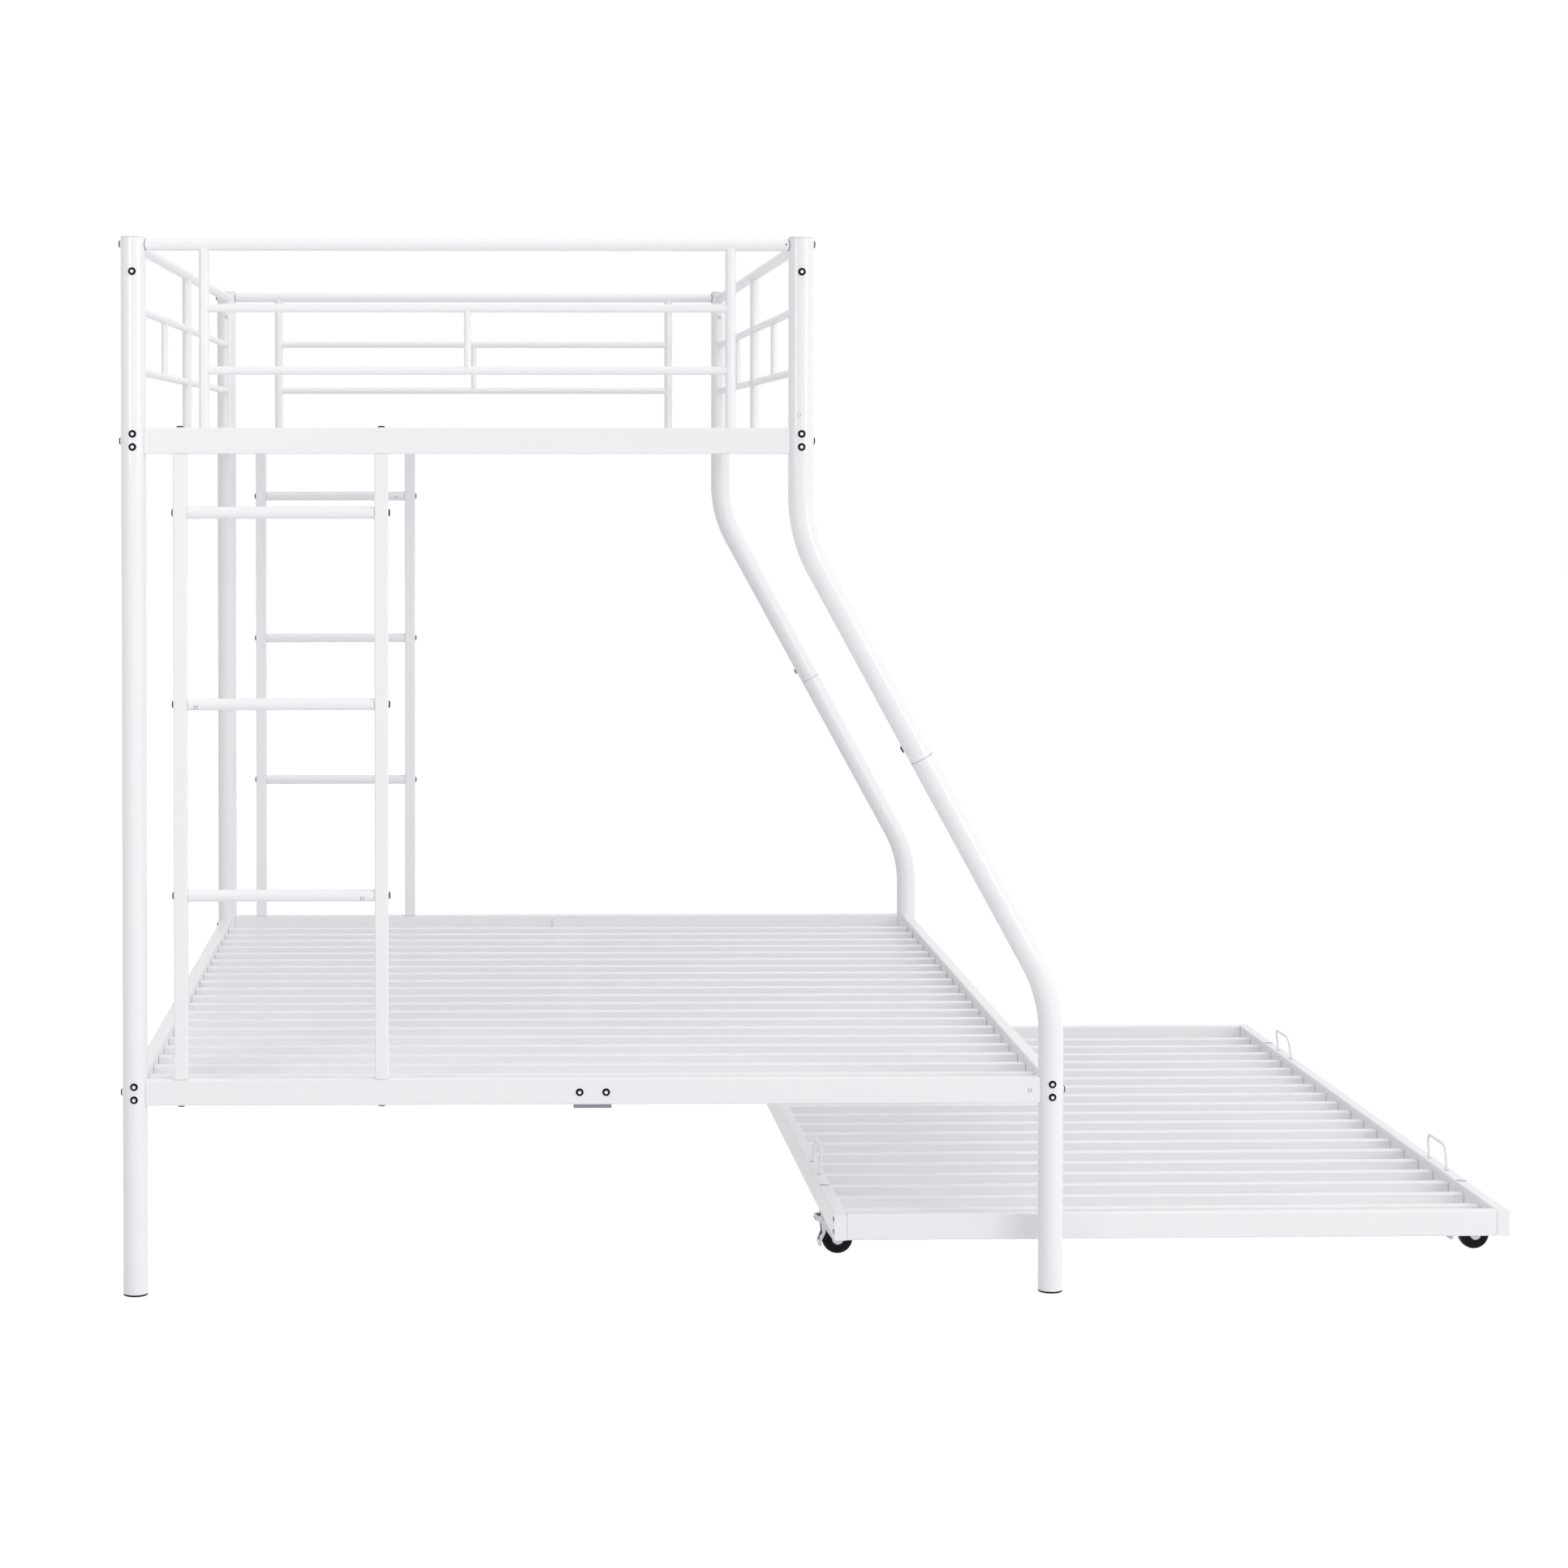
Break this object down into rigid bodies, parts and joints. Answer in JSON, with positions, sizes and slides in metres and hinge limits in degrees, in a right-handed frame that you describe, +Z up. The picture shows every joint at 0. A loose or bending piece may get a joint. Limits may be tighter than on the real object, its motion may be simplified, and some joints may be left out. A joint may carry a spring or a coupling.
{
  "type": "bunk bed with trundle",
  "caption": "Tubular metal bunk bed with a wide lower bed, a narrow upper bed, end ladders and a low slatted trundle on braked swivel castors rolled out at the side.",
  "frame": {"origin": "middle of the bounding box at floor level, with the trundle rolled out as in the picture", "axes": "+X across the bed from the straight posts towards the side where the trundle rolls out, +Y along the mattresses from the front end to the rear end, +Z up"},
  "size_m": [2.1928, 1.987, 1.626],
  "materials": {
    "white_powder_coat": "gloss",
    "bare_steel": "satin",
    "zinc_plate": "satin",
    "black_nylon": "satin",
    "white_plastic": "gloss"
  },
  "bodies": {
    "bunk": {"post_front_left": "white_powder_coat", "lower_post_front_right": "white_powder_coat", "upper_post_front_right": "white_powder_coat", "post_joint_sleeve_front": "bare_steel", "foot_front_left": "black_nylon", "foot_front_right": "black_nylon", "post_cap_front_left": "white_plastic", "post_cap_front_right": "white_plastic", "upper_end_panel_front": "white_powder_coat", "lower_end_rail_front": "white_powder_coat", "centre_bar_bracket_front": "zinc_plate", "ladder_front_stile_left": "white_powder_coat", "ladder_front_stile_right": "white_powder_coat", "ladder_front_rung_1": "white_powder_coat", "ladder_front_rung_2": "white_powder_coat", "ladder_front_rung_3": "white_powder_coat", "post_rear_left": "white_powder_coat", "lower_post_rear_right": "white_powder_coat", "upper_post_rear_right": "white_powder_coat", "post_joint_sleeve_rear": "bare_steel", "foot_rear_left": "black_nylon", "foot_rear_right": "black_nylon", "post_cap_rear_left": "white_plastic", "post_cap_rear_right": "white_plastic", "upper_end_panel_rear": "white_powder_coat", "lower_end_rail_rear": "white_powder_coat", "centre_bar_bracket_rear": "zinc_plate", "ladder_rear_stile_left": "white_powder_coat", "ladder_rear_stile_right": "white_powder_coat", "ladder_rear_rung_1": "white_powder_coat", "ladder_rear_rung_2": "white_powder_coat", "ladder_rear_rung_3": "white_powder_coat", "upper_deck_frame": "white_powder_coat", "lower_deck_frame": "white_powder_coat", "upper_guard_left": "white_powder_coat", "upper_guard_right": "white_powder_coat", "centre_support_bar": "white_powder_coat"},
    "trundle": {"trundle_deck_frame": "white_powder_coat", "trundle_end_rail_front": "white_powder_coat", "trundle_end_rail_rear": "white_powder_coat", "mattress_loop_front_left": "white_powder_coat", "mattress_loop_rear_left": "white_powder_coat", "mattress_loop_front_right": "white_powder_coat", "mattress_loop_rear_right": "white_powder_coat", "castor_front_left_socket": "white_plastic", "castor_rear_left_socket": "white_plastic", "castor_front_right_socket": "white_plastic", "castor_rear_right_socket": "white_plastic"},
    "castor_front_left": {"castor_front_left_fork": "zinc_plate"},
    "wheel_front_left": {"castor_front_left_wheel": "black_nylon"},
    "brake_front_left": {"castor_front_left_brake_lever": "zinc_plate"},
    "castor_rear_left": {"castor_rear_left_fork": "zinc_plate"},
    "wheel_rear_left": {"castor_rear_left_wheel": "black_nylon"},
    "brake_rear_left": {"castor_rear_left_brake_lever": "zinc_plate"},
    "castor_front_right": {"castor_front_right_fork": "zinc_plate"},
    "wheel_front_right": {"castor_front_right_wheel": "black_nylon"},
    "brake_front_right": {"castor_front_right_brake_lever": "zinc_plate"},
    "castor_rear_right": {"castor_rear_right_fork": "zinc_plate"},
    "wheel_rear_right": {"castor_rear_right_wheel": "black_nylon"},
    "brake_rear_right": {"castor_rear_right_brake_lever": "zinc_plate"}
  },
  "joints": [
    {"name": "trundle_roll", "type": "slide", "parent": "bunk", "child": "trundle", "axis": [1, 0, 0], "range_m": [-1.1, 0.36]},
    {"name": "castor_front_left_swivel", "type": "hinge", "parent": "trundle", "child": "castor_front_left", "pos_m": [0.01205, -0.70118, 0.0665], "axis": [0, 0, 1], "continuous": true},
    {"name": "wheel_front_left_spin", "type": "hinge", "parent": "castor_front_left", "child": "wheel_front_left", "pos_m": [0.03204, -0.70049, 0.025], "axis": [-0.0342, 0.9994, 0], "continuous": true},
    {"name": "brake_front_left_press", "type": "hinge", "parent": "castor_front_left", "child": "brake_front_left", "pos_m": [0.00855, -0.7013, 0.0545], "axis": [-0.0342, 0.9994, 0], "range_deg": [0, 18]},
    {"name": "castor_rear_left_swivel", "type": "hinge", "parent": "trundle", "child": "castor_rear_left", "pos_m": [-0.00834, 0.65737, 0.0665], "axis": [0, 0, 1], "continuous": true},
    {"name": "wheel_rear_left_spin", "type": "hinge", "parent": "castor_rear_left", "child": "wheel_rear_left", "pos_m": [0.01159, 0.65907, 0.025], "axis": [-0.0847, 0.9964, 0], "continuous": true},
    {"name": "brake_rear_left_press", "type": "hinge", "parent": "castor_rear_left", "child": "brake_rear_left", "pos_m": [-0.01183, 0.65707, 0.0545], "axis": [-0.0847, 0.9964, 0], "range_deg": [0, 18]},
    {"name": "castor_front_right_swivel", "type": "hinge", "parent": "trundle", "child": "castor_front_right", "pos_m": [1.05093, -0.68558, 0.0665], "axis": [0, 0, 1], "continuous": true},
    {"name": "wheel_front_right_spin", "type": "hinge", "parent": "castor_front_right", "child": "wheel_front_right", "pos_m": [1.07083, -0.6835, 0.025], "axis": [-0.1038, 0.9946, 0], "continuous": true},
    {"name": "brake_front_right_press", "type": "hinge", "parent": "castor_front_right", "child": "brake_front_right", "pos_m": [1.04745, -0.68594, 0.0545], "axis": [-0.1038, 0.9946, 0], "range_deg": [-18, 0]},
    {"name": "castor_rear_right_swivel", "type": "hinge", "parent": "trundle", "child": "castor_rear_right", "pos_m": [1.03054, 0.67297, 0.0665], "axis": [0, 0, 1], "continuous": true},
    {"name": "wheel_rear_right_spin", "type": "hinge", "parent": "castor_rear_right", "child": "wheel_rear_right", "pos_m": [1.05047, 0.67466, 0.025], "axis": [-0.0847, 0.9964, 0], "continuous": true},
    {"name": "brake_rear_right_press", "type": "hinge", "parent": "castor_rear_right", "child": "brake_rear_right", "pos_m": [1.02705, 0.67267, 0.0545], "axis": [-0.0847, 0.9964, 0], "range_deg": [-18, 0]}
  ]
}
